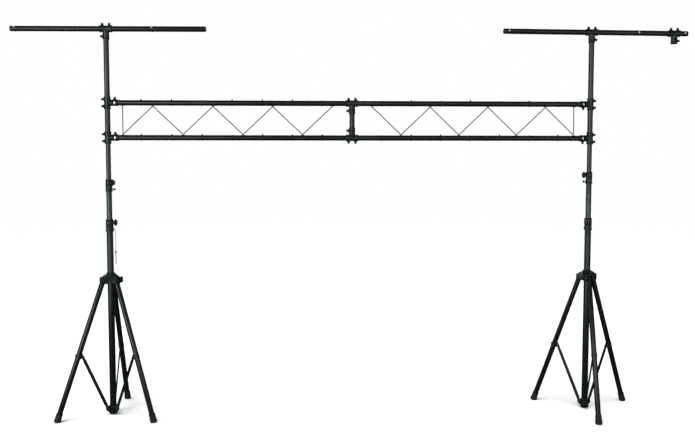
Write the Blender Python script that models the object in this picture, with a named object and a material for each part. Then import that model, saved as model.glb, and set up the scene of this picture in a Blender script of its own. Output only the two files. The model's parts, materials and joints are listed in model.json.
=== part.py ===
"""Two-mast stage lighting stand: telescoping tripod masts, a bridging truss and two T-bars.

Metres, +Z up.  The two mast axes stand at X = -/+ half the mast spacing with Y = 0, and the
ground is Z = 0.  Every moving piece has its object origin on its joint's axis.
"""
import math

import bmesh
import bpy
from mathutils import Matrix, Vector

# ---------------------------------------------------------------- driving dimensions (metres)
MAST_SPACING = 3.170          # between the mast axes: two 5 ft truss sections end to end
TUBE_WALL = 0.0018
GAP = 0.0003                  # between pieces that touch
MERGE = 0.00002               # points nearer than this are one point
SIDES = 16                    # round tubes
FINE_SIDES = 8                # small round details
LEG_SIDES = 12
TEE_SIDES = 12

# Masts: column, middle tube, top tube with the extension pole over it
COLUMN_R = 0.0210
MIDDLE_R = 0.0180
TOP_R = 0.0157
POLE_R = 0.0175
COLUMN_BOTTOM = 0.0103
LOWER_COLLAR_TOP = 1.295
UPPER_COLLAR_TOP = {"left": 1.555, "right": 1.603}
COLLAR_HEIGHT = 0.080
MIDDLE_BOTTOM = 0.500
TOP_TUBE_BOTTOM = 0.900
POLE_BOTTOM = 1.800
POLE_TOP = 2.500

# Truss and T-bars
CHORD_R = 0.0175
UPPER_CHORD_Z = 2.0504
LOWER_CHORD_Z = 1.8256
CHORD_END_FROM_MAST = 0.061
CHORD_END_FROM_CENTRE = 0.001
WEB_R = 0.0033
WEB_START_FROM_MAST = {"left": 0.097, "right": 0.111}
WEB_END_FROM_CENTRE = 0.131
WEB_BAYS = 7
WEB_BEND_R = 0.009
TBAR_Z = 2.5217
TBAR_LENGTH = 1.245
TBAR_OFFSET = {"left": 0.016, "right": 0.031}
TBAR_TURN_DEG = {"left": -1.3, "right": 2.3}
TBAR_ROLL_DEG = {"left": 35.0, "right": 10.0}   # how far its cross holes are rolled up from level
TBAR_HOLE_R = 0.0055
TBAR_HOLES = {"left": (-0.598, 0.278), "right": (-0.590, 0.286, 0.604)}
SPARE_TEE_FROM_MAST = 0.565

# Tee connector
TEE_BORE_R = 0.0185
TEE_OUTER_R = 0.0212
TEE_STUB_BORE_R = 0.0183
TEE_STUB_OUTER_R = 0.0208
TEE_SLEEVE = 0.080
TEE_STUB = 0.068
TEE_SCREW_SPACING = 0.045
TEE_CROSS_HOLE_R = 0.0105
TEE_CROSS_HOLE_AT = 0.044
TEE_STUB_SCREW_AT = 0.048
BOSS_R = 0.0075
BOSS_RISE = 0.0050

# Tripods
LEG_AZIMUTH = {"left": 88.0, "right": 25.4}
LEG_R = 0.0170
LEG_PIVOT_R = 0.0507
LEG_PIVOT_Z = 0.893
FOOT_SPREAD_R = 0.359
STRUT_PIVOT_ON_LEG = 0.5072
STRUT_PIVOT_INSET = 0.030
YOKE_BOTTOM = 0.872
YOKE_TOP = 0.945
YOKE_EAVES = 0.914            # where the roof of an arm meets its outer end
YOKE_ARM_R = 0.068
YOKE_KNOB_Z = 0.895
YOKE_KNOB_FACE = 0.062
HUB_PIVOT_R = 0.036
HUB_PIVOT_Z = 0.045
STRUT_THICK = 0.005
STRUT_HALF_WIDTH = 0.0104
STRUT_TIP_R = 0.0080
STRUT_TAPER = 0.034
FOOT_R = 0.0230
FOOT_TRIM = 0.005             # how far the foot's lower edge is cut back to stand flat

# Where the clamp knobs point, as azimuths in degrees
KNOB_AZIMUTH = {"left_lower": -8.0, "left_upper": -40.0, "right_lower": -120.0,
                "right_upper": -170.0, "left_yoke": 28.0, "right_yoke": 85.4}
PIN_AZIMUTH = {"left_lower": -14.0, "left_upper": -14.0, "right_lower": -165.0,
               "right_upper": -170.0}
KNOB_R = 0.0215
KNOB_BELOW_TOP = 0.021
PIN_ABOVE_BOTTOM = 0.016
PIN_R = 0.0030

# Lanyard of the left lower locking pin: hangs just outside the collar
LANYARD_R = 0.0022
LANYARD_ROUTE = (             # (out from the mast's axis, height): out of the boss, then hanging plumb
    (0.0293, 1.2310), (0.0310, 1.2310), (0.0333, 1.2307), (0.0355, 1.2298), (0.0374, 1.2284),
    (0.0388, 1.2265), (0.0397, 1.2243), (0.0400, 1.2220), (0.0401, 1.2150), (0.0400, 1.2050),
    (0.0399, 1.1950), (0.0399, 1.1850), (0.0400, 1.1750), (0.0401, 1.1650), (0.0401, 1.1550),
    (0.0400, 1.1450), (0.0400, 1.1350), (0.0400, 1.1250), (0.0400, 1.1150), (0.0400, 1.1050),
    (0.0400, 1.0960), (0.0400, 1.0890))
HANGING_PIN_LENGTH = 0.085

SIDES_OF_STAND = {"left": -1.0, "right": 1.0}

# ---------------------------------------------------------------- derived geometry
LEG_TILT = math.atan2(FOOT_SPREAD_R - LEG_PIVOT_R, LEG_PIVOT_Z)
LEG_REACH = LEG_PIVOT_Z / math.cos(LEG_TILT)
STRUT_TOP_R = (LEG_PIVOT_R + STRUT_PIVOT_ON_LEG * math.sin(LEG_TILT)
               - STRUT_PIVOT_INSET * math.cos(LEG_TILT))
STRUT_TOP_Z = (LEG_PIVOT_Z - STRUT_PIVOT_ON_LEG * math.cos(LEG_TILT)
               - STRUT_PIVOT_INSET * math.sin(LEG_TILT))
STRUT_TILT = math.atan2(STRUT_TOP_R - HUB_PIVOT_R, STRUT_TOP_Z - HUB_PIVOT_Z)
STRUT_LENGTH = math.hypot(STRUT_TOP_R - HUB_PIVOT_R, STRUT_TOP_Z - HUB_PIVOT_Z)


def mast_x(side):
    return SIDES_OF_STAND[side] * MAST_SPACING / 2


# ---------------------------------------------------------------- materials
def coat(name, colour, roughness, metallic):
    """A Principled material in one finish."""
    material = bpy.data.materials.new(name)
    material.use_nodes = True
    shader = material.node_tree.nodes["Principled BSDF"]
    shader.inputs["Base Color"].default_value = (*colour, 1.0)
    shader.inputs["Roughness"].default_value = roughness
    shader.inputs["Metallic"].default_value = metallic
    return material


FINISHES = {
    "black_steel": ((0.018, 0.022, 0.019), 0.42, 0.0),
    "cast_black": ((0.022, 0.027, 0.023), 0.50, 0.0),
    "black_plastic": ((0.012, 0.012, 0.012), 0.45, 0.0),
    "black_rubber": ((0.010, 0.010, 0.010), 0.85, 0.0),
    "web_steel": ((0.055, 0.057, 0.055), 0.38, 0.0),
    "zinc_steel": ((0.55, 0.55, 0.53), 0.35, 1.0),
}


# ---------------------------------------------------------------- mesh builders
def turned(profile, sides):
    """A closed solid turned about Z from a closed (radius, height) outline."""
    bm = bmesh.new()
    rings = []
    for radius, height in profile:
        if radius == 0.0:
            rings.append([bm.verts.new((0.0, 0.0, height))])
            continue
        ring = []
        for i in range(sides):
            angle = 2 * math.pi * i / sides
            ring.append(bm.verts.new((radius * math.cos(angle), radius * math.sin(angle), height)))
        rings.append(ring)
    closed = all(len(ring) > 1 for ring in rings)
    pairs = list(zip(rings, rings[1:]))
    if closed:
        pairs.append((rings[-1], rings[0]))
    for lower, upper in pairs:
        for i in range(sides):
            j = (i + 1) % sides
            corners = [lower[i % len(lower)], lower[j % len(lower)],
                       upper[j % len(upper)], upper[i % len(upper)]]
            face = list(dict.fromkeys(corners))
            if len(face) > 2:
                bm.faces.new(face)
    bmesh.ops.recalc_face_normals(bm, faces=bm.faces)
    return finished(bm)


def rod(radius, low, high, sides=FINE_SIDES):
    """A solid round bar along Z."""
    return turned([(0.0, low), (radius, low), (radius, high), (0.0, high)], sides)


def tube(outer, inner, low, high, sides=SIDES):
    """A round tube along Z, open at both ends."""
    return turned([(inner, low), (outer, low), (outer, high), (inner, high)], sides)


def prism(outline, thickness):
    """An outline in the XZ plane given thickness along Y, centred on Y = 0."""
    bm = bmesh.new()
    face = bm.faces.new([bm.verts.new((x, -thickness / 2, z)) for x, z in outline])
    grown = bmesh.ops.extrude_face_region(bm, geom=[face])
    far_side = [part for part in grown["geom"] if isinstance(part, bmesh.types.BMVert)]
    bmesh.ops.translate(bm, verts=far_side, vec=(0.0, thickness, 0.0))
    bmesh.ops.recalc_face_normals(bm, faces=bm.faces)
    return finished(bm)


def finished(bm):
    mesh = bpy.data.meshes.new("shape")
    bm.to_mesh(mesh)
    bm.free()
    return mesh


def moved(mesh, matrix):
    """The same mesh after a rigid move."""
    mesh.transform(matrix)
    return mesh


def arc(centre, radius, start_deg, end_deg, steps):
    """Points on an arc in a plane, both ends included."""
    points = []
    for i in range(steps + 1):
        angle = math.radians(start_deg + (end_deg - start_deg) * i / steps)
        points.append((centre[0] + radius * math.cos(angle), centre[1] + radius * math.sin(angle)))
    return points


def helper_object(mesh):
    helper = bpy.data.objects.new("helper", mesh)
    bpy.context.scene.collection.objects.link(helper)
    return helper


def carved(solids, cuts):
    """The union of some solids, less some cutters, as one new mesh."""
    base = helper_object(solids[0])
    helpers = [base]
    steps = [("UNION", solid) for solid in solids[1:]] + [("DIFFERENCE", cut) for cut in cuts]
    for operation, mesh in steps:
        other = helper_object(mesh)
        helpers.append(other)
        modifier = base.modifiers.new(operation.lower(), "BOOLEAN")
        modifier.operation = operation
        modifier.object = other
    bpy.context.view_layer.update()
    graph = bpy.context.evaluated_depsgraph_get()
    result = bpy.data.meshes.new_from_object(base.evaluated_get(graph))
    for helper in helpers:
        bpy.data.objects.remove(helper)
    return cleaned(result)


def cleaned(mesh):
    """Merge the hair-thin slivers that a Boolean leaves, and join faces that are flat together."""
    bm = bmesh.new()
    bm.from_mesh(mesh)
    bmesh.ops.remove_doubles(bm, verts=bm.verts, dist=MERGE)
    bmesh.ops.dissolve_degenerate(bm, dist=MERGE, edges=bm.edges)
    bmesh.ops.dissolve_limit(bm, angle_limit=math.radians(0.05), verts=bm.verts, edges=bm.edges)
    bmesh.ops.triangulate(bm, faces=bm.faces)
    bm.to_mesh(mesh)
    bm.free()
    return mesh


def smooth(mesh):
    mesh.shade_smooth()
    mesh.set_sharp_from_angle(angle=math.radians(35))


def piece(name, mesh, finish, matrix=Matrix(), parent=None):
    """One named sub-part, placed in the world by matrix and carried by its parent."""
    part = bpy.data.objects.new(name, mesh)
    bpy.context.scene.collection.objects.link(part)
    colour, roughness, metallic = FINISHES[finish]
    if not mesh.materials:
        mesh.materials.append(None)
    part.material_slots[0].link = "OBJECT"
    part.material_slots[0].material = coat(name, colour, roughness, metallic)
    smooth(mesh)
    if parent:
        part.parent = parent
        part.matrix_parent_inverse = parent.matrix_world.inverted()
    part.matrix_world = matrix
    bpy.context.view_layer.update()
    return part


def spot(x, y, z):
    return Matrix.Translation((x, y, z))


def turn(degrees, axis):
    return Matrix.Rotation(math.radians(degrees), 4, axis)


ALONG_X = turn(90, "Y")       # takes +Z to +X
ALONG_Y = turn(-90, "X")      # takes +Z to +Y


# ---------------------------------------------------------------- tee connector
def tee_mesh():
    """Sleeve along X, stub along -Z, two screw bosses on top and one on the stub's -X side."""
    half = TEE_SLEEVE / 2
    off_phase = turn(180 / TEE_SIDES, "Z")
    boss_foot = TEE_BORE_R + 0.0012
    solids = [
        moved(rod(TEE_OUTER_R, -half, half, TEE_SIDES), ALONG_X),
        moved(rod(TEE_STUB_OUTER_R, -TEE_STUB, 0.0, TEE_SIDES), off_phase),
    ]
    for x in (-TEE_SCREW_SPACING / 2, TEE_SCREW_SPACING / 2):
        solids.append(moved(rod(BOSS_R, boss_foot, TEE_OUTER_R + BOSS_RISE), spot(x, 0, 0)))
    stub_boss = rod(BOSS_R, boss_foot, TEE_OUTER_R + BOSS_RISE)
    solids.append(moved(stub_boss, spot(0, 0, -TEE_STUB_SCREW_AT) @ turn(-90, "Y")))
    cuts = [
        moved(rod(TEE_BORE_R, -half - 0.01, half + 0.01, TEE_SIDES), ALONG_X),
        moved(rod(TEE_STUB_BORE_R, -TEE_STUB - 0.01, -0.001, TEE_SIDES), off_phase),
        moved(rod(TEE_CROSS_HOLE_R, -0.03, 0.03, 10),
              spot(0, 0, -TEE_CROSS_HOLE_AT) @ ALONG_Y),
    ]
    return carved(solids, cuts)


# Rotations that point the stub (and its screw) of a tee the right way
STUB_DOWN_SCREW_LEFT = Matrix()
STUB_DOWN_SCREW_RIGHT = turn(180, "Z")
STUB_UP_SCREW_LEFT = turn(180, "X")
STUB_RIGHT_SCREW_UP = Matrix.Rotation(math.pi, 4, Vector((1, 0, -1)))
STUB_LEFT_SCREW_DOWN = Matrix.Rotation(math.pi, 4, Vector((1, 0, 1)))


# ---------------------------------------------------------------- mast
def collar_mesh(outer_tube_r, inner_tube_r, top, knob_azimuth, pin_azimuth, pin_hole):
    """A stepped clamp collar from the outer tube's end, with knob and pin bosses."""
    bottom = top - COLLAR_HEIGHT
    shoulder = top - 0.030
    body = outer_tube_r + 0.0030
    flange = outer_tube_r + 0.0052
    outline = [
        (outer_tube_r + GAP, bottom), (flange, bottom), (flange, bottom + 0.006),
        (body, bottom + 0.010), (body, top),
        (inner_tube_r + 0.0008, top), (inner_tube_r + 0.0008, shoulder), (outer_tube_r + GAP, shoulder),
    ]
    knob_height = top - KNOB_BELOW_TOP
    pin_height = bottom + PIN_ABOVE_BOTTOM
    knob_boss = moved(rod(0.0085, outer_tube_r + 0.001, body + 0.008),
                      spot(0, 0, knob_height) @ turn(knob_azimuth, "Z") @ ALONG_X)
    knob_hole = moved(rod(0.0044, inner_tube_r - 0.004, body + 0.02),
                      spot(0, 0, knob_height) @ turn(knob_azimuth, "Z") @ ALONG_X)
    pin_boss = moved(rod(0.0065, outer_tube_r + 0.0012, body + 0.005),
                     spot(0, 0, pin_height) @ turn(pin_azimuth, "Z") @ ALONG_X)
    cuts = [knob_hole]
    if pin_hole:
        cuts.append(moved(rod(PIN_R + GAP + 0.0002, outer_tube_r - 0.004, body + 0.02, 6),
                          spot(0, 0, pin_height) @ turn(pin_azimuth, "Z") @ ALONG_X))
    return carved([turned(outline, SIDES), knob_boss, pin_boss], cuts)


def knob_mesh(stem_length):
    """A six-lobed star knob along +X; its boss face is at X = 0 and its stem runs inward."""
    lobes = []
    for i in range(24):
        angle = 2 * math.pi * i / 24
        radius = KNOB_R * (0.86 + 0.14 * math.cos(6 * angle))
        lobes.append((radius * math.cos(angle), radius * math.sin(angle)))
    star = moved(prism(lobes, 0.013), turn(90, "Z"))
    moved(star, spot(0.0085, 0, 0))
    neck = moved(rod(0.0085, 0.0006, 0.006), ALONG_X)
    stem = moved(rod(0.0040, -stem_length, 0.006, 6), ALONG_X)
    return carved([star, neck, stem], [])


def pin_mesh(depth):
    """A locking pin along +X: plain shaft, grip head outside the boss."""
    shaft = moved(rod(PIN_R, -depth, 0.010, 6), ALONG_X)
    head = moved(turned([(0.0, 0.006), (0.005, 0.006), (0.0062, 0.009), (0.0062, 0.014),
                         (0.004, 0.018), (0.0, 0.018)], FINE_SIDES), ALONG_X)
    return carved([head, shaft], [])


def column_mesh():
    return tube(COLUMN_R, COLUMN_R - 0.0020, COLUMN_BOTTOM, LOWER_COLLAR_TOP - 0.0305)


def middle_mesh(side):
    return tube(MIDDLE_R, MIDDLE_R - TUBE_WALL, MIDDLE_BOTTOM, UPPER_COLLAR_TOP[side] - 0.0305)


def top_tube_mesh():
    """The top tube swells into the extension pole that the truss and T-bar tees clamp on."""
    inner = TOP_R - TUBE_WALL
    return turned([(inner, TOP_TUBE_BOTTOM), (TOP_R, TOP_TUBE_BOTTOM), (TOP_R, POLE_BOTTOM),
                   (POLE_R, POLE_BOTTOM + 0.003), (POLE_R, POLE_TOP), (inner, POLE_TOP)], SIDES)


# ---------------------------------------------------------------- tripod
def leg_azimuths(side):
    return [LEG_AZIMUTH[side] + 120.0 * k for k in range(3)]


def hub_mesh(side):
    """The cup under the column, with three forks and their cross pins for the struts."""
    inner = COLUMN_R + GAP
    cup = turned([(0.0, 0.005), (0.0215, 0.005), (0.025, 0.009), (0.025, 0.062),
                  (inner, 0.062), (inner, 0.010), (0.0, 0.010)], SIDES)
    fork = [(0.0225, 0.058), (0.043, 0.058), (0.0475, 0.050), (0.0475, 0.036),
            (0.036, 0.021), (0.0225, 0.011)]
    slot = [(0.0248, 0.080), (0.060, 0.080), (0.060, 0.002), (0.0248, 0.002)]
    solids = [cup]
    cuts = []
    pins = []
    for azimuth in leg_azimuths(side):
        solids.append(moved(prism(fork, 0.014), turn(azimuth, "Z")))
        cuts.append(moved(prism(slot, STRUT_THICK + 0.0012), turn(azimuth, "Z")))
        pins.append(moved(rod(0.0026, -0.0066, 0.0066, 6),
                          turn(azimuth, "Z") @ spot(HUB_PIVOT_R, 0, HUB_PIVOT_Z) @ ALONG_Y))
    bore = rod(inner, 0.010, 0.09, SIDES)
    return carved([carved(solids, cuts + [bore])] + pins, [])


def yoke_mesh(side, knob_azimuth):
    """The sliding spider: a neck sleeve and three channel arms with the leg hinge pins."""
    neck_r = 0.0270
    bore_r = COLUMN_R + 0.0008
    pivot = Vector((LEG_PIVOT_R, 0, LEG_PIVOT_Z))
    neck = rod(neck_r, YOKE_BOTTOM, YOKE_TOP, SIDES)
    arm = [(0.0200, YOKE_EAVES + 0.0230), (0.0280, YOKE_EAVES + 0.0230),
           (YOKE_ARM_R - 0.0030, YOKE_EAVES + 0.0030), (YOKE_ARM_R, YOKE_EAVES - 0.0020),
           (YOKE_ARM_R, YOKE_BOTTOM + 0.0080),
           (YOKE_ARM_R - 0.0060, YOKE_BOTTOM + 0.0010), (0.0200, YOKE_BOTTOM + 0.0010)]
    slot = [(0.0294, YOKE_EAVES + 0.0185), (YOKE_ARM_R - 0.0030, YOKE_EAVES - 0.0005),
            (YOKE_ARM_R + 0.0200, YOKE_EAVES - 0.0005), (YOKE_ARM_R + 0.0200, YOKE_BOTTOM - 0.0100),
            (0.0294, YOKE_BOTTOM - 0.0100)]
    wall = 0.0035
    slot_width = 2 * LEG_R + 0.0014
    solids = [neck]
    cuts = []
    pins = []
    for azimuth in leg_azimuths(side):
        solids.append(moved(prism(arm, slot_width + 2 * wall), turn(azimuth, "Z")))
        cuts.append(moved(prism(slot, slot_width), turn(azimuth, "Z")))
        pins.append(moved(rod(0.0040, -slot_width / 2 - 0.002, slot_width / 2 + 0.002, 6),
                          turn(azimuth, "Z") @ Matrix.Translation(pivot) @ ALONG_Y))
    knob_spot = spot(0, 0, YOKE_KNOB_Z) @ turn(knob_azimuth, "Z") @ ALONG_X
    boss = moved(rod(0.0085, 0.024, YOKE_KNOB_FACE), knob_spot)
    hole = moved(rod(0.0044, 0.015, YOKE_KNOB_FACE + 0.010), knob_spot)
    bore = rod(bore_r, 0.80, 1.00, SIDES)
    return carved([carved(solids + [boss], cuts + [hole, bore])] + pins, [])


def leg_mesh():
    """A leg tube along -Z from its hinge at the origin, with the strut bracket on its inner side."""
    inner = LEG_R - 0.0016
    end = -(LEG_REACH - 0.014)
    shell = rod(LEG_R, end, 0.011, LEG_SIDES)
    band = rod(LEG_R + 0.0014, -STRUT_PIVOT_ON_LEG - 0.016, -STRUT_PIVOT_ON_LEG + 0.016, LEG_SIDES)
    ear = [(-LEG_R + 0.003, 0.027)] + arc((-STRUT_PIVOT_INSET, 0.0), 0.0095, 90, 270, 4)
    ear += [(-LEG_R + 0.003, -0.013)]
    ears = moved(prism(ear, STRUT_THICK + 0.0016 + 0.005), spot(0, 0, -STRUT_PIVOT_ON_LEG))
    slot = [(-0.060, 0.05), (-LEG_R - 0.0016, 0.05), (-LEG_R - 0.0016, -0.05), (-0.060, -0.05)]
    gap = moved(prism(slot, STRUT_THICK + 0.0016), spot(0, 0, -STRUT_PIVOT_ON_LEG))
    bore = rod(inner, end - 0.01, 0.02, LEG_SIDES)
    eye = moved(rod(0.0047, -0.03, 0.03, 6), ALONG_Y)
    return carved([shell, band, ears], [gap, bore, eye])


def foot_mesh():
    """A flared rubber cap on the leg's end, cut back at its lowest edge to stand flat."""
    end = -(LEG_REACH + (FOOT_TRIM - FOOT_R * math.sin(LEG_TILT)) / math.cos(LEG_TILT))
    top = -(LEG_REACH - 0.060)
    seat = -(LEG_REACH - 0.0137)
    bore = LEG_R + GAP
    outline = [(0.0, end), (FOOT_R - 0.001, end), (FOOT_R - 0.001, end + 0.014),
               (0.0205, -(LEG_REACH - 0.034)), (0.0198, top), (bore, top), (bore, seat), (0.0, seat)]
    mesh = turned(outline, LEG_SIDES)
    bm = bmesh.new()
    bm.from_mesh(mesh)
    down = Vector((-math.sin(LEG_TILT), 0, -math.cos(LEG_TILT)))
    ground = Vector((0, 0, -LEG_REACH))
    geometry = list(bm.verts) + list(bm.edges) + list(bm.faces)
    bmesh.ops.bisect_plane(bm, geom=geometry, plane_co=ground, plane_no=down, clear_outer=True)
    rim = [edge for edge in bm.edges if edge.is_boundary]
    bmesh.ops.contextual_create(bm, geom=rim)
    bmesh.ops.recalc_face_normals(bm, faces=bm.faces)
    return finished(bm)


def strut_mesh():
    """A flat strut along +Z from its hub pivot, with round ends and a hole at the hub end."""
    outline = arc((0.0, 0.0), STRUT_TIP_R, 180, 360, 6)
    outline += [(STRUT_HALF_WIDTH, STRUT_TAPER), (STRUT_HALF_WIDTH, STRUT_LENGTH - STRUT_TAPER)]
    outline += arc((0.0, STRUT_LENGTH), STRUT_TIP_R, 0, 180, 6)
    outline += [(-STRUT_HALF_WIDTH, STRUT_LENGTH - STRUT_TAPER), (-STRUT_HALF_WIDTH, STRUT_TAPER)]
    hole = moved(rod(0.0032, -0.02, 0.02, 6), ALONG_Y)
    return carved([prism(outline, STRUT_THICK)], [hole])


# ---------------------------------------------------------------- truss
def web_points(side):
    """The bent rod's route: down the end post, then zigzag between the chords, bends rounded."""
    high = UPPER_CHORD_Z - CHORD_R - WEB_R - GAP
    low = LOWER_CHORD_Z + CHORD_R + WEB_R + GAP
    start = WEB_START_FROM_MAST[side]
    pitch = (MAST_SPACING / 2 - start - WEB_END_FROM_CENTRE) / WEB_BAYS
    corners = [Vector((start, 0, high)), Vector((start, 0, low))]
    for bay in range(1, WEB_BAYS + 1):
        corners.append(Vector((start + bay * pitch, 0, high if bay % 2 else low)))
    route = [corners[0]]
    for before, corner, after in zip(corners, corners[1:], corners[2:]):
        into = corner + (before - corner).normalized() * WEB_BEND_R
        out = corner + (after - corner).normalized() * WEB_BEND_R
        for step in range(3):
            t = step / 2
            route.append((1 - t) ** 2 * into + 2 * t * (1 - t) * corner + t ** 2 * out)
    route.append(corners[-1])
    inward = -SIDES_OF_STAND[side]
    return [Vector((mast_x(side) + inward * point.x, 0, point.z)) for point in route]


def wire(name, points, radius, finish, parent, resolution=1):
    """A bent round rod as a bevelled curve with filled caps."""
    curve = bpy.data.curves.new(name, "CURVE")
    curve.dimensions = "3D"
    curve.bevel_depth = radius
    curve.bevel_resolution = resolution
    curve.use_fill_caps = True
    spline = curve.splines.new("POLY")
    spline.points.add(len(points) - 1)
    for target, point in zip(spline.points, points):
        target.co = (*point, 1.0)
    colour, roughness, metallic = FINISHES[finish]
    curve.materials.append(coat(name, colour, roughness, metallic))
    part = bpy.data.objects.new(name, curve)
    bpy.context.scene.collection.objects.link(part)
    part.parent = parent
    part.matrix_parent_inverse = parent.matrix_world.inverted()
    return part


def tbar_mesh(side):
    """A T-bar tube along X with its cross holes, centred on its own middle."""
    half = TBAR_LENGTH / 2
    bar = moved(tube(POLE_R, POLE_R - TUBE_WALL, -half, half), ALONG_X)
    cuts = []
    for x in TBAR_HOLES[side]:
        cuts.append(moved(rod(TBAR_HOLE_R, -0.03, 0.03), spot(x, 0, 0) @ ALONG_Y))
    return carved([bar], cuts)


# ---------------------------------------------------------------- assembly
def empty(name, matrix, parent=None):
    holder = bpy.data.objects.new(name, None)
    bpy.context.scene.collection.objects.link(holder)
    holder.matrix_world = matrix
    holder.parent = parent
    bpy.context.view_layer.update()
    return holder


def build_tripod(side, stand, base):
    yoke_knob = KNOB_AZIMUTH[side + "_yoke"]
    piece(side + "_hub", hub_mesh(side), "cast_black", base, stand)
    yoke = piece(side + "_yoke", yoke_mesh(side, yoke_knob), "cast_black", base, stand)
    knob_place = base @ spot(0, 0, YOKE_KNOB_Z) @ turn(yoke_knob, "Z") @ spot(YOKE_KNOB_FACE, 0, 0)
    piece(side + "_yoke_knob", knob_mesh(YOKE_KNOB_FACE - 0.023), "black_plastic", knob_place, yoke)
    tilt = math.degrees(LEG_TILT)
    strut_tilt = math.degrees(STRUT_TILT)
    for number, azimuth in enumerate(leg_azimuths(side), start=1):
        around = base @ turn(azimuth, "Z")
        at_leg = around @ spot(LEG_PIVOT_R, 0, LEG_PIVOT_Z) @ turn(-tilt, "Y")
        leg = piece(f"{side}_leg_{number}", leg_mesh(), "black_steel", at_leg, yoke)
        piece(f"{side}_foot_{number}", foot_mesh(), "black_rubber", at_leg, leg)
        at_strut = around @ spot(HUB_PIVOT_R, 0, HUB_PIVOT_Z) @ turn(strut_tilt, "Y")
        piece(f"{side}_strut_{number}", strut_mesh(), "black_steel", at_strut, stand)


def build_collar(side, stage, top, outer_r, inner_r, base, parent):
    """A collar with its clamp knob, and its locking pin where one is fitted."""
    label = side + "_" + stage
    pinned = label in ("left_upper", "right_upper")
    mesh = collar_mesh(outer_r, inner_r, top, KNOB_AZIMUTH[label], PIN_AZIMUTH[label], pinned)
    collar = piece(label + "_collar", mesh, "cast_black", base, parent)
    boss_face = outer_r + 0.0030 + 0.008
    knob_place = base @ spot(0, 0, top - KNOB_BELOW_TOP) @ turn(KNOB_AZIMUTH[label], "Z")
    stem = boss_face - inner_r - 0.0012
    piece(label + "_knob", knob_mesh(stem), "black_plastic", knob_place @ spot(boss_face, 0, 0), collar)
    if pinned:
        pin_face = outer_r + 0.0030 + 0.005
        height = top - COLLAR_HEIGHT + PIN_ABOVE_BOTTOM
        pin_place = base @ spot(0, 0, height) @ turn(PIN_AZIMUTH[label], "Z") @ spot(pin_face, 0, 0)
        piece(label + "_pin", pin_mesh(0.0065), "zinc_steel", pin_place, collar)


def build_lanyard(base, parent):
    """The left lower collar's lanyard and the locking pin that hangs on it."""
    around = base @ turn(PIN_AZIMUTH["left_lower"], "Z")
    points = [around @ Vector((out, 0, height)) for out, height in LANYARD_ROUTE]
    wire("left_lower_lanyard", points, LANYARD_R, "zinc_steel", parent, resolution=2)
    ring_top = -GAP
    outline = [(0.0, ring_top), (0.004, ring_top - 0.001), (0.0065, ring_top - 0.006),
               (0.0065, ring_top - 0.009), (0.004, ring_top - 0.014), (0.0028, ring_top - 0.015),
               (0.0028, ring_top - HANGING_PIN_LENGTH), (0.0, ring_top - HANGING_PIN_LENGTH - 0.002)]
    end_out, end_height = LANYARD_ROUTE[-1]
    place = around @ spot(end_out, 0, end_height)
    piece("left_lower_pin", turned(outline, 10), "zinc_steel", place, parent)


def build_mast(side):
    base = spot(mast_x(side), 0, 0)
    stand = empty(side + "_stand", base)
    column = piece(side + "_column", column_mesh(), "black_steel", base, stand)
    build_tripod(side, stand, base)
    build_collar(side, "lower", LOWER_COLLAR_TOP, COLUMN_R, MIDDLE_R, base, column)
    middle = piece(side + "_middle_tube", middle_mesh(side), "black_steel", base, stand)
    build_collar(side, "upper", UPPER_COLLAR_TOP[side], MIDDLE_R, TOP_R, base, middle)
    top = piece(side + "_top_tube", top_tube_mesh(), "black_steel", base, middle)
    return top


def build_bridge():
    """Two truss sections, their mast tees, and the centre tees with their post."""
    bridge = empty("bridge", Matrix())
    tee = tee_mesh()
    levels = {"upper": UPPER_CHORD_Z, "lower": LOWER_CHORD_Z}
    inner = CHORD_R - TUBE_WALL
    for side, sign in SIDES_OF_STAND.items():
        mast = mast_x(side)
        for level, height in levels.items():
            length = MAST_SPACING / 2 - CHORD_END_FROM_MAST - CHORD_END_FROM_CENTRE
            chord = moved(tube(CHORD_R, inner, CHORD_END_FROM_CENTRE, CHORD_END_FROM_CENTRE + length),
                          ALONG_X)
            flip = Matrix() if sign > 0 else turn(180, "Z")
            piece(f"{side}_{level}_chord", chord, "black_steel", spot(0, 0, height) @ flip, bridge)
            aim = STUB_RIGHT_SCREW_UP if side == "left" else STUB_LEFT_SCREW_DOWN
            piece(f"{side}_{level}_truss_tee", tee.copy(), "cast_black",
                  spot(mast, 0, height) @ aim, bridge)
        wire(side + "_web", web_points(side), WEB_R, "web_steel", bridge)
    piece("upper_centre_tee", tee.copy(), "cast_black",
          spot(0, 0, UPPER_CHORD_Z) @ STUB_DOWN_SCREW_LEFT, bridge)
    piece("lower_centre_tee", tee.copy(), "cast_black",
          spot(0, 0, LOWER_CHORD_Z) @ STUB_UP_SCREW_LEFT, bridge)
    post = tube(POLE_R, inner, LOWER_CHORD_Z + 0.026, UPPER_CHORD_Z - 0.026)
    piece("centre_post", post, "black_steel", Matrix(), bridge)


def build_tbar(side, pole):
    axis = spot(mast_x(side), 0, TBAR_Z) @ turn(TBAR_TURN_DEG[side], "Z")
    aim = STUB_DOWN_SCREW_LEFT if side == "left" else STUB_DOWN_SCREW_RIGHT
    tee = piece(side + "_tbar_tee", tee_mesh(), "cast_black", axis @ aim, pole)
    place = axis @ spot(TBAR_OFFSET[side], 0, 0) @ turn(-TBAR_ROLL_DEG[side], "X")
    return piece(side + "_tbar", tbar_mesh(side), "black_steel", place, tee)


def build():
    for thing in list(bpy.data.objects):
        bpy.data.objects.remove(thing)
    bars = {}
    for side in SIDES_OF_STAND:
        pole = build_mast(side)
        bars[side] = build_tbar(side, pole)
    build_bridge()
    spare = (spot(mast_x("right"), 0, TBAR_Z) @ turn(TBAR_TURN_DEG["right"], "Z")
             @ spot(SPARE_TEE_FROM_MAST, 0, 0) @ STUB_DOWN_SCREW_RIGHT)
    piece("spare_tee", tee_mesh(), "cast_black", spare, bars["right"])
    build_lanyard(spot(mast_x("left"), 0, 0), bpy.data.objects["left_column"])


build()
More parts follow.
